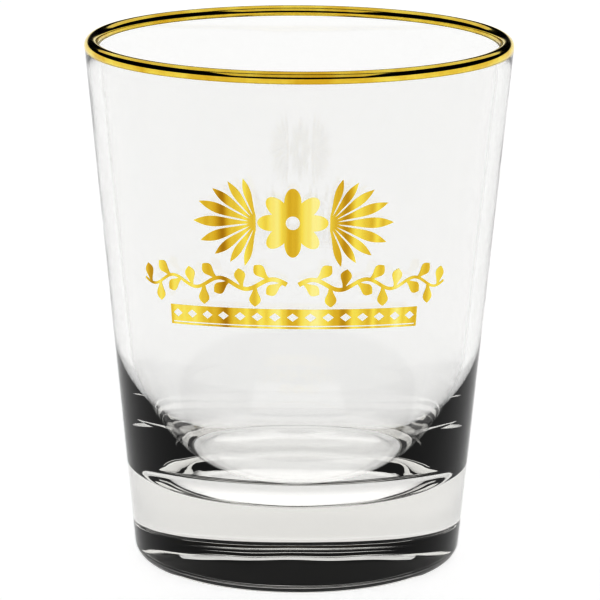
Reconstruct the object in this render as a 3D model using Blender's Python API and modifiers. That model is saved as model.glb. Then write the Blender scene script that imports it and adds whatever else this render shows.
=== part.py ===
"""Souvenir shot glass: a tapered, heavy-based glass with a gilded rim and a gold print on the front.

Metres, +Z up. The glass stands on Z = 0 with its axis on Z, and the print faces -Y.
"""

import bmesh
import bpy
from math import asin, atan2, ceil, cos, floor, hypot, pi, sin, tan
from mathutils import Vector

COLLECTION = "Shot_Glass"
SEGMENTS = 64
TOUCH_GAP = 0.0003
GOLD_THICKNESS = 0.0001

# The glass, finished sizes over the gold
HEIGHT = 0.0621
RIM_RADIUS = 0.025
BASE_RADIUS = 0.0191
HEEL_RADIUS = 0.002
LIP_THICKNESS = 0.0016
FLOOR_HEIGHT = 0.0096
WALL_AT_FLOOR = 0.00177
CORNER_WIDTH = 0.0072
CORNER_HEIGHT = 0.0160
BAND_DEPTH = 0.0012

# The print: a leafy rosette device, a vine to each side below it, and a banner bar
PRINT_TURN = -0.026
PRINT_ARCH = 0.0027
PRINT_CLEARANCE = 0.0002
ROSETTE_RADIUS = 0.0040
ROSETTE_WAIST = 0.0025
ROSETTE_EYE = 0.0008
ROSETTE_PETALS = 8
FAN_WIDTH = 0.0068
FAN_RISE = 0.0086
FAN_LEAVES = 9
FAN_HUB_RADIUS = 0.0009
FAN_SPREAD = 2.9
FAN_LEAF_SHARE = 0.5
VINE_LENGTH = 0.0192
VINE_CENTRE_GAP = 0.0014
VINE_WAVES = 3.0
VINE_SWING = 0.0006
VINE_HALF_WIDTH = 0.00027
VINE_TAPER = 0.5
VINE_LEAVES = 12
VINE_LEAF_LENGTH = 0.0021
VINE_LEAF_HALF_WIDTH = 0.0006
VINE_LEAF_LEAN = 1.1
LEAF_FULLNESS = 1.6
BANNER_LENGTH = 0.0316
BANNER_TOP = 0.0347
BANNER_WIDTH = 0.0023
BANNER_RULE_WIDTH = 0.00022
BANNER_SLOT_WIDTH = 0.00016
BANNER_END = 0.0003
LOZENGE_HALF_LENGTH = 0.0007
LOZENGE_HALF_WIDTH = 0.0005
LOZENGE_COUNT = 15

CORNER_STEPS = 12
HEEL_STEPS = 6
LIP_STEPS = 10
LEAF_STEPS = 5
PETAL_STEPS = 4
VINE_LEAF_STEPS = 4
VINE_LEAF_PLACE = 1

# Points closer than these are one point
TURNED_WELD = 0.00001
PRINT_WELD = 0.000001
CUT_WELD = 0.0000001

GLASS_COLOUR = (0.93, 0.95, 0.94, 1.0)
GLASS_ROUGHNESS = 0.02
GOLD_COLOUR = (0.83, 0.60, 0.12, 1.0)
GOLD_ROUGHNESS = 0.12

GLASS_SHRINK = TOUCH_GAP + GOLD_THICKNESS
LIP_RADIUS = LIP_THICKNESS / 2
VINE_REACH = VINE_SWING + VINE_LEAF_LENGTH
VINE_HEIGHT = BANNER_TOP + PRINT_CLEARANCE + VINE_REACH
DEVICE_HEIGHT = VINE_HEIGHT + VINE_REACH + PRINT_CLEARANCE + FAN_RISE / 2
LIP_CENTRE = Vector((RIM_RADIUS - GLASS_SHRINK - LIP_RADIUS, HEIGHT - GLASS_SHRINK - LIP_RADIUS))


def clear_scene():
    for obj in list(bpy.data.objects):
        bpy.data.objects.remove(obj, do_unlink=True)


def new_collection(name):
    collection = bpy.data.collections.new(name)
    bpy.context.scene.collection.children.link(collection)
    return collection


def new_material(name, colour, roughness, metallic=0.0, transmission=0.0):
    material = bpy.data.materials.new(name)
    material.use_nodes = True
    shader = material.node_tree.nodes["Principled BSDF"]
    shader.inputs["Base Color"].default_value = colour
    shader.inputs["Roughness"].default_value = roughness
    shader.inputs["Metallic"].default_value = metallic
    shader.inputs["Transmission Weight"].default_value = transmission
    material.diffuse_color = colour
    return material


def arc(centre, radius, start, end, steps):
    """Points on an arc in the profile plane, with both of its ends."""
    angles = [start + (end - start) * step / steps for step in range(steps + 1)]
    return [centre + radius * Vector((cos(angle), sin(angle))) for angle in angles]


def outer_lean():
    """The lean of the outer wall, from the base radius at Z = 0 to a tangent on the lip."""
    across = LIP_CENTRE.x - BASE_RADIUS
    return atan2(across, LIP_CENTRE.y) + asin(LIP_RADIUS / hypot(across, LIP_CENTRE.y))


def wall_radius(height):
    """The glass's outer radius on its straight wall."""
    return BASE_RADIUS + height * tan(outer_lean())


def cavity_radius():
    """The radius that the cavity's sloping wall would have at the level of its floor."""
    return wall_radius(FLOOR_HEIGHT) - WALL_AT_FLOOR


def inner_lean():
    """The lean of the cavity wall, from the cavity radius at its floor to a tangent on the lip."""
    across = LIP_CENTRE.x - cavity_radius()
    up = LIP_CENTRE.y - FLOOR_HEIGHT
    return atan2(across, up) - asin(LIP_RADIUS / hypot(across, up))


def cavity_corner():
    """A quarter of an ellipse, leant over with the wall, from the cavity floor up to the wall."""
    points = []
    for step in range(CORNER_STEPS + 1):
        angle = -pi / 2 + pi / 2 * step / CORNER_STEPS
        rise = CORNER_HEIGHT * (1 + sin(angle))
        reach = cavity_radius() - CORNER_WIDTH * (1 - cos(angle)) + rise * tan(inner_lean())
        points.append(Vector((reach, FLOOR_HEIGHT + rise)))
    return points


def heel():
    """The round between the flat base and the outer wall, from the wall down to the base."""
    reach = BASE_RADIUS + HEEL_RADIUS * tan(outer_lean()) - HEEL_RADIUS / cos(outer_lean())
    centre = Vector((reach, HEEL_RADIUS))
    return arc(centre, HEEL_RADIUS, -outer_lean(), -pi / 2, HEEL_STEPS)


def glass_profile():
    """From the middle of the cavity floor up the inside, over the lip and down to the base."""
    middle_of_floor = Vector((0.0, FLOOR_HEIGHT))
    middle_of_base = Vector((0.0, 0.0))
    lip = arc(LIP_CENTRE, LIP_RADIUS, pi - inner_lean(), -outer_lean(), LIP_STEPS)
    return [middle_of_floor] + cavity_corner() + lip + heel() + [middle_of_base]


def band_face(offset):
    """The lip's outline at an offset from the glass, with a straight leg down each wall."""
    leg = BAND_DEPTH - LIP_RADIUS
    over = arc(LIP_CENTRE, LIP_RADIUS + offset, pi - inner_lean(), -outer_lean(), LIP_STEPS)
    down_inside = Vector((-sin(inner_lean()), -cos(inner_lean())))
    down_outside = Vector((-sin(outer_lean()), -cos(outer_lean())))
    return [over[0] + leg * down_inside] + over + [over[-1] + leg * down_outside]


def band_profile():
    """A closed loop: down the gold's outer face, then back along its inner face."""
    outer = band_face(TOUCH_GAP + GOLD_THICKNESS)
    return outer + band_face(TOUCH_GAP)[::-1] + outer[:1]


def turned(name, profile, material, collection):
    """A solid of revolution about Z from a profile of (radius, height) points."""
    mesh = bpy.data.meshes.new(name)
    edges = [(index, index + 1) for index in range(len(profile) - 1)]
    mesh.from_pydata([(point.x, 0.0, point.y) for point in profile], edges, [])
    body = bpy.data.objects.new(name, mesh)
    collection.objects.link(body)
    screw = body.modifiers.new("Turn", "SCREW")
    screw.steps = SEGMENTS
    screw.render_steps = SEGMENTS
    screw.use_merge_vertices = True
    screw.merge_threshold = TURNED_WELD
    screw.use_smooth_shade = True
    mesh.materials.append(material)
    return body


def leaf(left_root, right_root, direction, length, half_width):
    """One side of a leaf out to its tip and the other side back, between two root points."""
    root = (left_root + right_root) / 2
    stalk = (left_root - right_root).length / 2
    side = Vector((-direction.y, direction.x))
    if side.dot(left_root - right_root) < 0:
        side = -side
    out = []
    back = []
    for step in range(1, LEAF_STEPS):
        share = step / LEAF_STEPS
        half = stalk * (1 - share) + half_width * sin(pi * share ** LEAF_FULLNESS)
        along = root + direction * length * share
        out.append(along + side * half)
        back.append(along - side * half)
    return out + [root + direction * length] + back[::-1]


def regular_loop(centre, radius_at, count):
    """A closed loop about a centre, whose radius is a function of the angle."""
    angles = [2 * pi * index / count for index in range(count)]
    return [centre + radius_at(angle) * Vector((cos(angle), sin(angle))) for angle in angles]


def rosette_loops():
    centre = Vector((0.0, DEVICE_HEIGHT))

    def petal(angle):
        return ROSETTE_WAIST + (ROSETTE_RADIUS - ROSETTE_WAIST) * abs(cos(ROSETTE_PETALS * angle / 2))

    eye = regular_loop(centre, lambda angle: ROSETTE_EYE, ROSETTE_PETALS)
    return [regular_loop(centre, petal, ROSETTE_PETALS * PETAL_STEPS), eye]


def fan_loops(side):
    """Leaves spread from a small hub beside the rosette, longest where the fan's ellipse is widest."""
    hub = Vector((0.0, DEVICE_HEIGHT))
    pitch = FAN_SPREAD / FAN_LEAVES
    points = []
    for index in range(FAN_LEAVES):
        angle = -FAN_SPREAD / 2 + pitch * (index + 0.5)
        direction = Vector((cos(angle), sin(angle)))
        right_root = hub + FAN_HUB_RADIUS * Vector((cos(angle - pitch / 2), sin(angle - pitch / 2)))
        left_root = hub + FAN_HUB_RADIUS * Vector((cos(angle + pitch / 2), sin(angle + pitch / 2)))
        tip_reach = 1 / hypot(cos(angle) / FAN_WIDTH, sin(angle) / (FAN_RISE / 2))
        half_width = FAN_LEAF_SHARE * tan(pitch / 2) * tip_reach
        points += [right_root] + leaf(right_root, left_root, direction, tip_reach, half_width)
    points.append(left_root)
    shift = ROSETTE_RADIUS + PRINT_CLEARANCE - min(point.x for point in points)
    return [[Vector((side * (point.x + shift), point.y)) for point in points]]


def vine_loops(side):
    """A waving stem that tapers away from the middle, with leaves to alternate sides."""
    steps = VINE_LEAVES * VINE_LEAF_STEPS

    def stem(share):
        rise = VINE_SWING * sin(2 * pi * VINE_WAVES * share)
        return Vector((VINE_CENTRE_GAP / 2 + VINE_LENGTH * share, VINE_HEIGHT + rise))

    def edge_points(sign):
        points = []
        for step in range(steps):
            share = step / steps
            heading = (stem(share + 1 / steps) - stem(share)).normalized()
            normal = Vector((-heading.y, heading.x)) * sign
            half = VINE_HALF_WIDTH * (1 - VINE_TAPER * share)
            points.append(stem(share) + normal * half)
        return points

    def with_leaves(points, sign):
        loop = []
        for step, point in enumerate(points):
            loop.append(point)
            turn, place = divmod(step, VINE_LEAF_STEPS)
            leafy_side = 1 if turn % 2 else -1
            if place == VINE_LEAF_PLACE and sign == leafy_side:
                heading = (points[step + 1] - point).normalized()
                lean = VINE_LEAF_LEAN * sign
                direction = Vector((
                    heading.x * cos(lean) - heading.y * sin(lean),
                    heading.x * sin(lean) + heading.y * cos(lean),
                ))
                loop += leaf(point, points[step + 1], direction, VINE_LEAF_LENGTH, VINE_LEAF_HALF_WIDTH)
        return loop

    upper = with_leaves(edge_points(1), 1)
    lower = with_leaves(edge_points(-1), -1)
    points = upper + [stem(1)] + lower[::-1]
    return [[Vector((side * point.x, point.y)) for point in points]]


def box_loop(low, high):
    return [low, Vector((high.x, low.y)), high, Vector((low.x, high.y))]


def banner_loops():
    """A bar with a row of lozenges left clear and a fine rule along its lower edge."""
    half = BANNER_LENGTH / 2
    bottom = BANNER_TOP - BANNER_WIDTH
    slot_bottom = bottom + BANNER_RULE_WIDTH
    slot_top = slot_bottom + BANNER_SLOT_WIDTH
    loops = [box_loop(Vector((-half, bottom)), Vector((half, BANNER_TOP)))]
    slot_half = half - BANNER_END
    loops.append(box_loop(Vector((-slot_half, slot_bottom)), Vector((slot_half, slot_top))))
    pitch = BANNER_LENGTH / LOZENGE_COUNT
    middle = (slot_top + BANNER_TOP) / 2
    for index in range(LOZENGE_COUNT):
        centre = Vector((-half + pitch * (index + 0.5), middle))
        across = Vector((LOZENGE_HALF_LENGTH, 0.0))
        up = Vector((0.0, LOZENGE_HALF_WIDTH))
        loops.append([centre - across, centre - up, centre + across, centre + up])
    return loops


def flat_plate(name, loops):
    """A flat plate of the gold's thickness, standing in the plane of the print, as a mesh."""
    curve = bpy.data.curves.new(name, "CURVE")
    curve.dimensions = "2D"
    curve.fill_mode = "BOTH"
    curve.extrude = GOLD_THICKNESS / 2
    for loop in loops:
        spline = curve.splines.new("POLY")
        spline.points.add(len(loop) - 1)
        for point, place in zip(spline.points, loop):
            point.co = (place.x, place.y, 0.0, 1.0)
        spline.use_cyclic_u = True
    flat = bpy.data.objects.new(name, curve)
    bpy.context.scene.collection.objects.link(flat)
    mesh = bpy.data.meshes.new_from_object(flat.evaluated_get(bpy.context.evaluated_depsgraph_get()))
    bpy.data.objects.remove(flat, do_unlink=True)
    return mesh


def print_island(name, loops, material, collection):
    """A flat plate cut into upright strips, then wrapped around the tapered wall."""
    mesh = flat_plate(name, loops)
    mesh.name = name
    plate = bmesh.new()
    plate.from_mesh(mesh)
    bmesh.ops.remove_doubles(plate, verts=plate.verts, dist=PRINT_WELD)
    mean_radius = wall_radius(DEVICE_HEIGHT)
    strip = 2 * pi / SEGMENTS * mean_radius
    reach = [vert.co.x for vert in plate.verts]
    for index in range(ceil(min(reach) / strip), floor(max(reach) / strip) + 1):
        bmesh.ops.bisect_plane(
            plate,
            geom=plate.verts[:] + plate.edges[:] + plate.faces[:],
            dist=CUT_WELD,
            plane_co=(index * strip, 0.0, 0.0),
            plane_no=(1.0, 0.0, 0.0),
        )
    bmesh.ops.triangulate(plate, faces=plate.faces)
    for vert in plate.verts:
        turn = vert.co.x / mean_radius
        height = vert.co.y - PRINT_ARCH * (1 - cos(turn))
        radius = wall_radius(height) + TOUCH_GAP / cos(outer_lean()) + GOLD_THICKNESS / 2 + vert.co.z
        angle = turn + PRINT_TURN
        vert.co = (radius * sin(angle), -radius * cos(angle), height)
    plate.to_mesh(mesh)
    plate.free()
    mesh.materials.clear()
    mesh.materials.append(material)
    island = bpy.data.objects.new(name, mesh)
    collection.objects.link(island)
    return island


def build():
    clear_scene()
    collection = new_collection(COLLECTION)
    clear_glass = new_material("Clear_Glass", GLASS_COLOUR, GLASS_ROUGHNESS, transmission=1.0)
    fired_gold = new_material("Fired_Gold", GOLD_COLOUR, GOLD_ROUGHNESS, metallic=1.0)
    turned("glass_body", glass_profile(), clear_glass, collection)
    turned("gold_rim", band_profile(), fired_gold, collection)
    print_island("print_rosette", rosette_loops(), fired_gold, collection)
    print_island("print_fan_left", fan_loops(-1), fired_gold, collection)
    print_island("print_fan_right", fan_loops(1), fired_gold, collection)
    print_island("print_vine_left", vine_loops(-1), fired_gold, collection)
    print_island("print_vine_right", vine_loops(1), fired_gold, collection)
    print_island("print_banner", banner_loops(), fired_gold, collection)


build()
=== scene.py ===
"""A souvenir shot glass: clear pressed glass with a gilded lip and a gold print fired on its front."""

from math import asin, atan2, ceil, cos, floor, hypot, pi, radians, sin, tan

import bmesh
import bpy
from mathutils import Matrix, Vector


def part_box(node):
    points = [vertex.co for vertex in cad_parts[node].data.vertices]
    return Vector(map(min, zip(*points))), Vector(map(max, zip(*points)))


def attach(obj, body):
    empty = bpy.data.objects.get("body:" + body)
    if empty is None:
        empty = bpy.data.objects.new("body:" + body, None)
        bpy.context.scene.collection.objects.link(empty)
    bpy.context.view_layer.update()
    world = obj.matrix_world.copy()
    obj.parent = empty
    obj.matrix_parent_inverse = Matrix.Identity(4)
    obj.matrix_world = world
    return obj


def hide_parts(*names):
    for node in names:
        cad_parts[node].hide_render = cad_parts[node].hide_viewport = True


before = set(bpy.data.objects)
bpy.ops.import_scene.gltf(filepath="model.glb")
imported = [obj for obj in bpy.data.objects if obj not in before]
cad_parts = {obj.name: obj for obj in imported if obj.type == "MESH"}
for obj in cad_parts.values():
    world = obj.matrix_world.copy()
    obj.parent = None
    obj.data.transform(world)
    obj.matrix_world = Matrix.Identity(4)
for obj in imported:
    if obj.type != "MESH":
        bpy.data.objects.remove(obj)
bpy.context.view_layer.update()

# The glass. One gob of clear soda-lime glass, pressed in an iron mould and fire polished:
# a thick solid base, a wall that tapers down to it, a cavity with rounded corners and a
# rounded lip. It stands on the flat of its base.
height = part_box("gold_rim")[1].z
rim_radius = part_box("gold_rim")[1].x
gold_thickness = 0.00002
base_radius = 0.0191
heel_radius = 0.002
lip_radius = 0.0008
floor_height = 0.0096
cavity_radius = 0.0182
corner_width = 0.0072
corner_height = 0.0160
turn_segments = 320
corner_steps = 40
lip_steps = 24
heel_steps = 16
flat_steps = 10
inner_wall_steps = 20
outer_wall_steps = 24
turned_weld = 0.000001

lip_centre = Vector((
    rim_radius - gold_thickness - lip_radius,
    height - gold_thickness - lip_radius,
))


def arc(centre, radius, start, end, steps):
    angles = [start + (end - start) * step / steps for step in range(steps + 1)]
    return [centre + radius * Vector((cos(angle), sin(angle))) for angle in angles]


def outer_lean():
    across = lip_centre.x - base_radius
    return atan2(across, lip_centre.y) + asin(lip_radius / hypot(across, lip_centre.y))


def inner_lean():
    across = lip_centre.x - cavity_radius
    up = lip_centre.y - floor_height
    return atan2(across, up) - asin(lip_radius / hypot(across, up))


def rounded_corner(foot_radius, radius, lean, steps):
    reach = foot_radius + radius * tan(lean) - radius / cos(lean)
    centre = Vector((reach, radius))
    return arc(centre, radius, -pi / 2, -lean, steps)


def straight(start, end, steps):
    """The points between two ends, without the ends."""
    return [start.lerp(end, step / steps) for step in range(1, steps)]


def wall_radius(at_height):
    return base_radius + at_height * tan(outer_lean())


def turned(name, profile, looped):
    """A solid of revolution from a profile that runs down its outer side, or round in a loop."""
    mesh = bpy.data.meshes.new(name)
    edges = [(index, index + 1) for index in range(len(profile) - 1)]
    if looped:
        edges.append((len(profile) - 1, 0))
    mesh.from_pydata([(point.x, 0.0, point.y) for point in profile], edges, [])
    body = bpy.data.objects.new(name, mesh)
    bpy.context.scene.collection.objects.link(body)
    screw = body.modifiers.new("Turn", "SCREW")
    screw.steps = turn_segments
    screw.render_steps = turn_segments
    screw.use_merge_vertices = True
    screw.merge_threshold = turned_weld
    screw.use_smooth_shade = True
    return body


def cavity_corner(steps):
    """A quarter of an ellipse, leant over with the wall, from the cavity floor up to the wall."""
    points = []
    for step in range(steps + 1):
        angle = -pi / 2 + pi / 2 * step / steps
        rise = corner_height * (1 + sin(angle))
        reach = cavity_radius - corner_width * (1 - cos(angle)) + rise * tan(inner_lean())
        points.append(Vector((reach, floor_height + rise)))
    return points


inside = cavity_corner(corner_steps)
lip = arc(lip_centre, lip_radius, pi - inner_lean(), -outer_lean(), lip_steps)
heel = rounded_corner(base_radius, heel_radius, outer_lean(), heel_steps)[::-1]
middle_of_floor = Vector((0.0, floor_height))
middle_of_base = Vector((0.0, 0.0))
profile = [middle_of_floor] + straight(middle_of_floor, inside[0], flat_steps) + inside
profile += straight(inside[-1], lip[0], inner_wall_steps) + lip
profile += straight(lip[-1], heel[0], outer_wall_steps) + heel
profile += straight(heel[-1], middle_of_base, flat_steps) + [middle_of_base]
glass = turned("pressed_glass", profile, looped=False)


class Value:
    """A shader socket that takes part in sums, each of which adds its Math node."""

    tree = None

    def __init__(self, socket):
        self.socket = socket

    @classmethod
    def node(cls, kind, settings=None, inputs=None, output=0):
        """Adds a node of a kind, with its settings, then the values or links of its sockets."""
        made = cls.tree.nodes.new(kind)
        for key, setting in (settings or {}).items():
            if key == "stops":
                ramp = made.color_ramp
                while len(ramp.elements) < len(setting):
                    ramp.elements.new(0.5)
                for element, (place, colour) in zip(ramp.elements, setting):
                    element.position = place
                    element.color = colour
            else:
                setattr(made, key, setting)
        for key, given in (inputs or {}).items():
            socket = made.inputs[key]
            if isinstance(given, Value):
                cls.tree.links.new(given.socket, socket)
            else:
                socket.default_value = given
        return cls(made.outputs[output])

    def math(self, operation, other):
        return Value.node("ShaderNodeMath", {"operation": operation}, {0: self, 1: other})

    def __add__(self, other):
        return self.math("ADD", other)

    __radd__ = __add__

    def __mul__(self, other):
        return self.math("MULTIPLY", other)

    __rmul__ = __mul__


def new_material(name):
    material = bpy.data.materials.new(name)
    material.use_nodes = True
    Value.tree = material.node_tree
    return material, material.node_tree.nodes["Principled BSDF"]


def feed(shader, socket_name, value):
    Value.tree.links.new(value.socket, shader.inputs[socket_name])


clear_glass, shader = new_material("clear_glass")
shader.inputs["Base Color"].default_value = (0.955, 0.955, 0.952, 1.0)
shader.inputs["Transmission Weight"].default_value = 1.0
shader.inputs["IOR"].default_value = 1.52
shader.inputs["Roughness"].default_value = 0.0
place = Value.node("ShaderNodeTexCoord", output="Object")
rise = Value.node("ShaderNodeSeparateXYZ", None, {0: place}, "Z")
ripple = Value.node("ShaderNodeTexNoise", {"noise_dimensions": "3D"},
                    {"Vector": place, "Scale": 90.0, "Detail": 2.0, "Roughness": 0.5})
chill = Value.node("ShaderNodeTexNoise", {"noise_dimensions": "3D"},
                   {"Vector": place, "Scale": 150.0, "Detail": 0.0, "Roughness": 0.5})
near_base = Value.node("ShaderNodeMapRange", {"interpolation_type": "SMOOTHSTEP"},
                       {"Value": rise, "From Min": 0.022, "From Max": 0.004, "To Min": 0.0,
                        "To Max": 1.0})
dimple = Value.node("ShaderNodeBump", None,
                    {"Strength": 1.0, "Distance": 0.00006, "Height": 0.3 * ripple + near_base * chill})
feed(shader, "Normal", dimple)
depth_tint = Value.node("ShaderNodeVolumeAbsorption", None,
                        {"Color": (0.85, 0.84, 0.81, 1.0), "Density": 19.0})
finish = Value.tree.nodes["Material Output"]
Value.tree.links.new(depth_tint.socket, finish.inputs["Volume"])
glass.data.materials.append(clear_glass)
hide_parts("glass_body")
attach(glass, "root")


# The gilded lip. A band of liquid bright gold is brushed over the rounded lip and fired on,
# so it is a film a few hundredths of a millimetre thick that lies close on the glass.
band_depth = 0.0012
film_bite = 0.00001


def band_face(offset):
    leg = band_depth - lip_radius
    over = arc(lip_centre, lip_radius + offset, pi - inner_lean(), -outer_lean(), lip_steps)
    down_inside = Vector((-sin(inner_lean()), -cos(inner_lean())))
    down_outside = Vector((-sin(outer_lean()), -cos(outer_lean())))
    return [over[0] + leg * down_inside] + over + [over[-1] + leg * down_outside]


band = turned("rim_band", band_face(gold_thickness) + band_face(-film_bite)[::-1], looped=True)

rim_gold, shader = new_material("rim_gold")
shader.inputs["Metallic"].default_value = 1.0
place = Value.node("ShaderNodeTexCoord", output="Object")
brushing = Value.node("ShaderNodeTexNoise", {"noise_dimensions": "3D"},
                      {"Vector": place, "Scale": 260.0, "Detail": 3.0, "Roughness": 0.55})
rim_tone = Value.node("ShaderNodeValToRGB",
                      {"stops": [(0.30, (0.78, 0.56, 0.08, 1.0)), (0.70, (0.93, 0.80, 0.22, 1.0))]},
                      {0: brushing})
feed(shader, "Base Color", rim_tone)
feed(shader, "Roughness", 0.05 + 0.10 * brushing)
band.data.materials.append(rim_gold)
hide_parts("gold_rim")
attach(band, "root")


# The print. Gold lustre is screened on the outside of the wall below the lip and fired: a
# rosette between two fans of leaves, a leafy vine to each side below it, and a banner bar
# pierced with lozenges. It stands a little left of the middle and bows down at its ends.
print_turn = -0.026
print_arch = 0.0027
row_gap = 0.0002
banner_top = 0.0347
vine_swing = 0.0006
vine_leaf_length = 0.0021
fan_rise = 0.0086
rosette_radius = 0.0040
leaf_steps = 14
petal_points = 160
eye_points = 40
film_weld = 0.0000005
cut_weld = 0.00000005

vine_reach = vine_swing + vine_leaf_length
vine_height = banner_top + row_gap + vine_reach
device_height = vine_height + vine_reach + row_gap + fan_rise / 2


def leaf(left_root, right_root, direction, length, half_width):
    """One side of a leaf out to its tip and the other side back, between two root points."""
    root = (left_root + right_root) / 2
    stalk = (left_root - right_root).length / 2
    side = Vector((-direction.y, direction.x))
    if side.dot(left_root - right_root) < 0:
        side = -side
    out = []
    back = []
    for step in range(1, leaf_steps):
        share = step / leaf_steps
        half = stalk * (1 - share) + half_width * sin(pi * share ** 1.6)
        along = root + direction * length * share
        out.append(along + side * half)
        back.append(along - side * half)
    return out + [root + direction * length] + back[::-1]


def ring_of_points(centre, radius_at, count):
    angles = [2 * pi * index / count for index in range(count)]
    return [centre + radius_at(angle) * Vector((cos(angle), sin(angle))) for angle in angles]


def rosette_outlines():
    waist, eye, petals = 0.0025, 0.0008, 8
    centre = Vector((0.0, device_height))

    def petal(angle):
        return waist + (rosette_radius - waist) * abs(cos(petals * angle / 2))

    outer = ring_of_points(centre, petal, petal_points)
    return [outer, ring_of_points(centre, lambda angle: eye, eye_points)]


def fan_outlines():
    leaves, spread, reach_out, hub_radius, leaf_share = 9, 2.9, 0.0068, 0.0009, 0.5
    hub = Vector((0.0, device_height))
    pitch = spread / leaves
    points = []
    for index in range(leaves):
        angle = -spread / 2 + pitch * (index + 0.5)
        direction = Vector((cos(angle), sin(angle)))
        right_root = hub + hub_radius * Vector((cos(angle - pitch / 2), sin(angle - pitch / 2)))
        left_root = hub + hub_radius * Vector((cos(angle + pitch / 2), sin(angle + pitch / 2)))
        length = 1 / hypot(cos(angle) / reach_out, sin(angle) / (fan_rise / 2))
        half_width = leaf_share * tan(pitch / 2) * length
        points += [right_root] + leaf(right_root, left_root, direction, length, half_width)
    points.append(left_root)
    shift = rosette_radius + row_gap - min(point.x for point in points)
    return [[point + Vector((shift, 0.0)) for point in points]]


def vine_outlines():
    leaves, waves, length, centre_gap, half_width = 12, 3.0, 0.0192, 0.0014, 0.00027
    leaf_half_width, lean_out, taper = 0.0006, 1.1, 0.5
    parts_per_leaf, fine = 4, 4
    steps = leaves * parts_per_leaf * fine

    def stem(share):
        rise = vine_swing * sin(2 * pi * waves * share)
        return Vector((centre_gap / 2 + length * share, vine_height + rise))

    def stem_side(share, sign):
        heading = (stem(share + 1 / (leaves * parts_per_leaf)) - stem(share)).normalized()
        normal = Vector((-heading.y, heading.x)) * sign
        return stem(share) + normal * half_width * (1 - taper * share)

    def side_with_leaves(sign):
        loop = []
        step = 0
        while step < steps:
            here = stem_side(step / steps, sign)
            loop.append(here)
            turn, place = divmod(step, parts_per_leaf * fine)
            if place == fine and sign == (1 if turn % 2 else -1):
                after = stem_side((step + fine) / steps, sign)
                heading = (after - here).normalized()
                lean = lean_out * sign
                direction = Vector((
                    heading.x * cos(lean) - heading.y * sin(lean),
                    heading.x * sin(lean) + heading.y * cos(lean),
                ))
                loop += leaf(here, after, direction, vine_leaf_length, leaf_half_width)
                step += fine
            else:
                step += 1
        return loop

    return [side_with_leaves(1) + [stem(1)] + side_with_leaves(-1)[::-1]]


def box_outline(low, high):
    return [low, Vector((high.x, low.y)), high, Vector((low.x, high.y))]


def banner_outlines():
    length, width, rule, slot, end = 0.0316, 0.0023, 0.00022, 0.00016, 0.0003
    count, across, up = 15, Vector((0.0007, 0.0)), Vector((0.0, 0.0005))
    bottom = banner_top - width
    slot_top = bottom + rule + slot
    slot_low = Vector((end - length / 2, bottom + rule))
    outlines = [
        box_outline(Vector((-length / 2, bottom)), Vector((length / 2, banner_top))),
        box_outline(slot_low, Vector((length / 2 - end, slot_top))),
    ]
    pitch = length / count
    for index in range(count):
        centre = Vector((-length / 2 + pitch * (index + 0.5), (slot_top + banner_top) / 2))
        outlines.append([centre - across, centre - up, centre + across, centre + up])
    return outlines


def fired_film(name, outlines, flipped):
    """A flat film with these outlines, cut into narrow upright strips and laid round the wall."""
    curve = bpy.data.curves.new(name, "CURVE")
    curve.dimensions = "2D"
    curve.fill_mode = "BOTH"
    curve.extrude = (gold_thickness + film_bite) / 2
    for outline in outlines:
        spline = curve.splines.new("POLY")
        spline.points.add(len(outline) - 1)
        for point, spot in zip(spline.points, outline):
            point.co = (spot.x, spot.y, 0.0, 1.0)
        spline.use_cyclic_u = True
    flat = bpy.data.objects.new(name + "_flat", curve)
    bpy.context.scene.collection.objects.link(flat)
    mesh = bpy.data.meshes.new_from_object(flat.evaluated_get(bpy.context.evaluated_depsgraph_get()))
    bpy.data.objects.remove(flat, do_unlink=True)
    film = bmesh.new()
    film.from_mesh(mesh)
    bmesh.ops.remove_doubles(film, verts=film.verts, dist=film_weld)
    if flipped:
        bmesh.ops.scale(film, verts=film.verts, vec=(-1.0, 1.0, 1.0))
        bmesh.ops.reverse_faces(film, faces=film.faces)
    mean_radius = wall_radius(device_height)
    strip = 2 * pi / turn_segments * mean_radius
    reach = [vert.co.x for vert in film.verts]
    for index in range(ceil(min(reach) / strip), floor(max(reach) / strip) + 1):
        bmesh.ops.bisect_plane(
            film, geom=film.verts[:] + film.edges[:] + film.faces[:], dist=cut_weld,
            plane_co=(index * strip, 0.0, 0.0), plane_no=(1.0, 0.0, 0.0),
        )
    bmesh.ops.triangulate(film, faces=film.faces)
    for vert in film.verts:
        turn = vert.co.x / mean_radius
        rise = vert.co.y - print_arch * (1 - cos(turn))
        radius = wall_radius(rise) + (gold_thickness - film_bite) / 2 + vert.co.z
        angle = turn + print_turn
        vert.co = (radius * sin(angle), -radius * cos(angle), rise)
    film.to_mesh(mesh)
    film.free()
    laid = bpy.data.objects.new(name, mesh)
    bpy.context.scene.collection.objects.link(laid)
    return laid


print_gold, shader = new_material("print_gold")
shader.inputs["Metallic"].default_value = 1.0
shader.inputs["Roughness"].default_value = 0.22
place = Value.node("ShaderNodeTexCoord", output="Object")
east = Value.node("ShaderNodeSeparateXYZ", None, {0: place}, "X")
south = Value.node("ShaderNodeSeparateXYZ", None, {0: place}, "Y")
bearing = Value.node("ShaderNodeMath", {"operation": "ARCTAN2"}, {0: east, 1: -1.0 * south})
# The print's gold colour carries painted reflection: upright bands of dark and pale gold, set by the
# angle round the glass, stand in for the studio's reflections in the gold.
painted_reflection_bands = Value.node("ShaderNodeTexNoise", {"noise_dimensions": "1D"},
                      {"W": 4.5 * bearing + 7.3, "Scale": 1.0, "Detail": 2.5, "Roughness": 0.6})
gold_with_painted_reflections = Value.node("ShaderNodeValToRGB", {"stops": [
    (0.28, (0.52, 0.30, 0.02, 1.0)),
    (0.40, (0.77, 0.55, 0.07, 1.0)),
    (0.55, (0.93, 0.80, 0.20, 1.0)),
    (0.68, (0.97, 0.90, 0.44, 1.0)),
]}, {0: painted_reflection_bands})
feed(shader, "Base Color", gold_with_painted_reflections)

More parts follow.
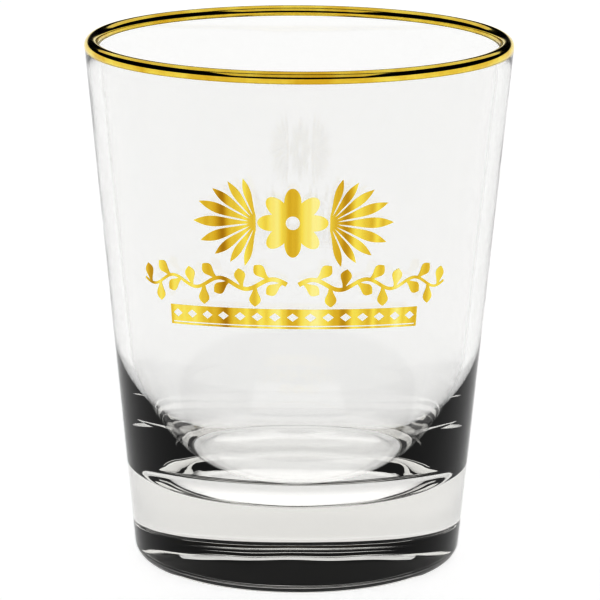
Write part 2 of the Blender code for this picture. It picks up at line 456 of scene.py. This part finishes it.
islands = [
    ("rosette", rosette_outlines(), False),
    ("fan_left", fan_outlines(), True),
    ("fan_right", fan_outlines(), False),
    ("vine_left", vine_outlines(), True),
    ("vine_right", vine_outlines(), False),
    ("banner", banner_outlines(), False),
]
for island, outlines, flipped in islands:
    film = fired_film("gold_" + island, outlines, flipped)
    film.data.materials.append(print_gold)
    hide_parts("print_" + island)
    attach(film, "root")


# The studio. A pale lit table top runs far past the glass. It glows evenly, with painted light on top:
# a painted pool of light under the glass and a painted glow that grows far off. A bright low wall
# stands all round it under a dark ceiling, and two soft boxes hang high up, one behind the glass and
# one before.
table_size = 12.0
gap_under_glass = 0.00002
bpy.ops.mesh.primitive_plane_add(size=table_size, location=(0.0, 0.0, -gap_under_glass))
table = bpy.context.object
table.name = "table_top"
pale, shader = new_material("pale_table")
shader.inputs["Base Color"].default_value = (0.30, 0.30, 0.30, 1.0)
shader.inputs["Roughness"].default_value = 0.9
shader.inputs["Emission Strength"].default_value = 1.0
place = Value.node("ShaderNodeTexCoord", output="Object")
out_from_middle = Value.node("ShaderNodeVectorMath", {"operation": "LENGTH"}, {0: place}, "Value")
# Painted light: a painted pool of light in a disc under the glass, 1.08 falling to 0.865 round the
# base, and a painted glow that grows from 0.3 m to 1.8 m out.
under_glass_painted_light = Value.node("ShaderNodeMapRange", {"interpolation_type": "SMOOTHSTEP"},
                  {"Value": out_from_middle, "From Min": 0.013, "From Max": 0.0185,
                   "To Min": 1.08, "To Max": 0.865})
far_painted_light = Value.node("ShaderNodeMapRange", {"interpolation_type": "SMOOTHSTEP"},
                      {"Value": out_from_middle, "From Min": 0.3, "From Max": 1.8,
                       "To Min": 0.0, "To Max": 0.13})
feed(shader, "Emission Color", under_glass_painted_light + far_painted_light)
table.data.materials.append(pale)

world = bpy.data.worlds.new("studio")
bpy.context.scene.world = world
world.use_nodes = True
Value.tree = world.node_tree
heading = Value.node("ShaderNodeTexCoord", output="Generated")
heading_rise = Value.node("ShaderNodeSeparateXYZ", None, {0: heading}, "Z")
low_wall = Value.node("ShaderNodeMapRange", {"interpolation_type": "SMOOTHSTEP"},
                      {"Value": heading_rise, "From Min": sin(radians(5.0)),
                       "From Max": sin(radians(8.5)), "To Min": 1.0, "To Max": 0.0004})
Value.tree.links.new(low_wall.socket, world.node_tree.nodes["Background"].inputs["Color"])


def softbox(name, place, aim, width, depth, power):
    lamp = bpy.data.lights.new(name, "AREA")
    lamp.shape = "RECTANGLE"
    lamp.size = width
    lamp.size_y = depth
    lamp.energy = power
    box = bpy.data.objects.new(name, lamp)
    bpy.context.scene.collection.objects.link(box)
    box.location = place
    box.rotation_euler = (Vector(aim) - Vector(place)).to_track_quat("-Z", "Y").to_euler()


softbox("back_box", (0.0, 0.5, 0.87), (0.0, 0.0, 0.0), 1.6, 1.4, 6.6)
softbox("front_box", (0.0, -0.57, 0.82), (0.0, 0.0, 0.0), 1.3, 0.8, 2.9)
bpy.context.scene.view_settings.view_transform = "Standard"
bpy.context.scene.view_settings.gamma = 0.60

# The camera, level with the eye of someone seated at the table.
camera_distance = 0.500
camera_elevation = radians(12.7)
camera_roll = radians(0.3)
aim = Vector((0.00024, 0.0, height / 2 - 0.0003))
lens = bpy.data.cameras.new("camera")
lens.lens = 254.5
lens.sensor_width = 36.0
lens.clip_start = 0.01
camera = bpy.data.objects.new("camera", lens)
bpy.context.scene.collection.objects.link(camera)
away = Vector((0.0, -cos(camera_elevation), sin(camera_elevation)))
camera.location = aim + camera_distance * away
turn = (-away).to_track_quat("-Z", "Y").to_matrix().to_4x4()
camera.rotation_euler = (turn @ Matrix.Rotation(camera_roll, 4, "Z")).to_euler()
bpy.context.scene.camera = camera
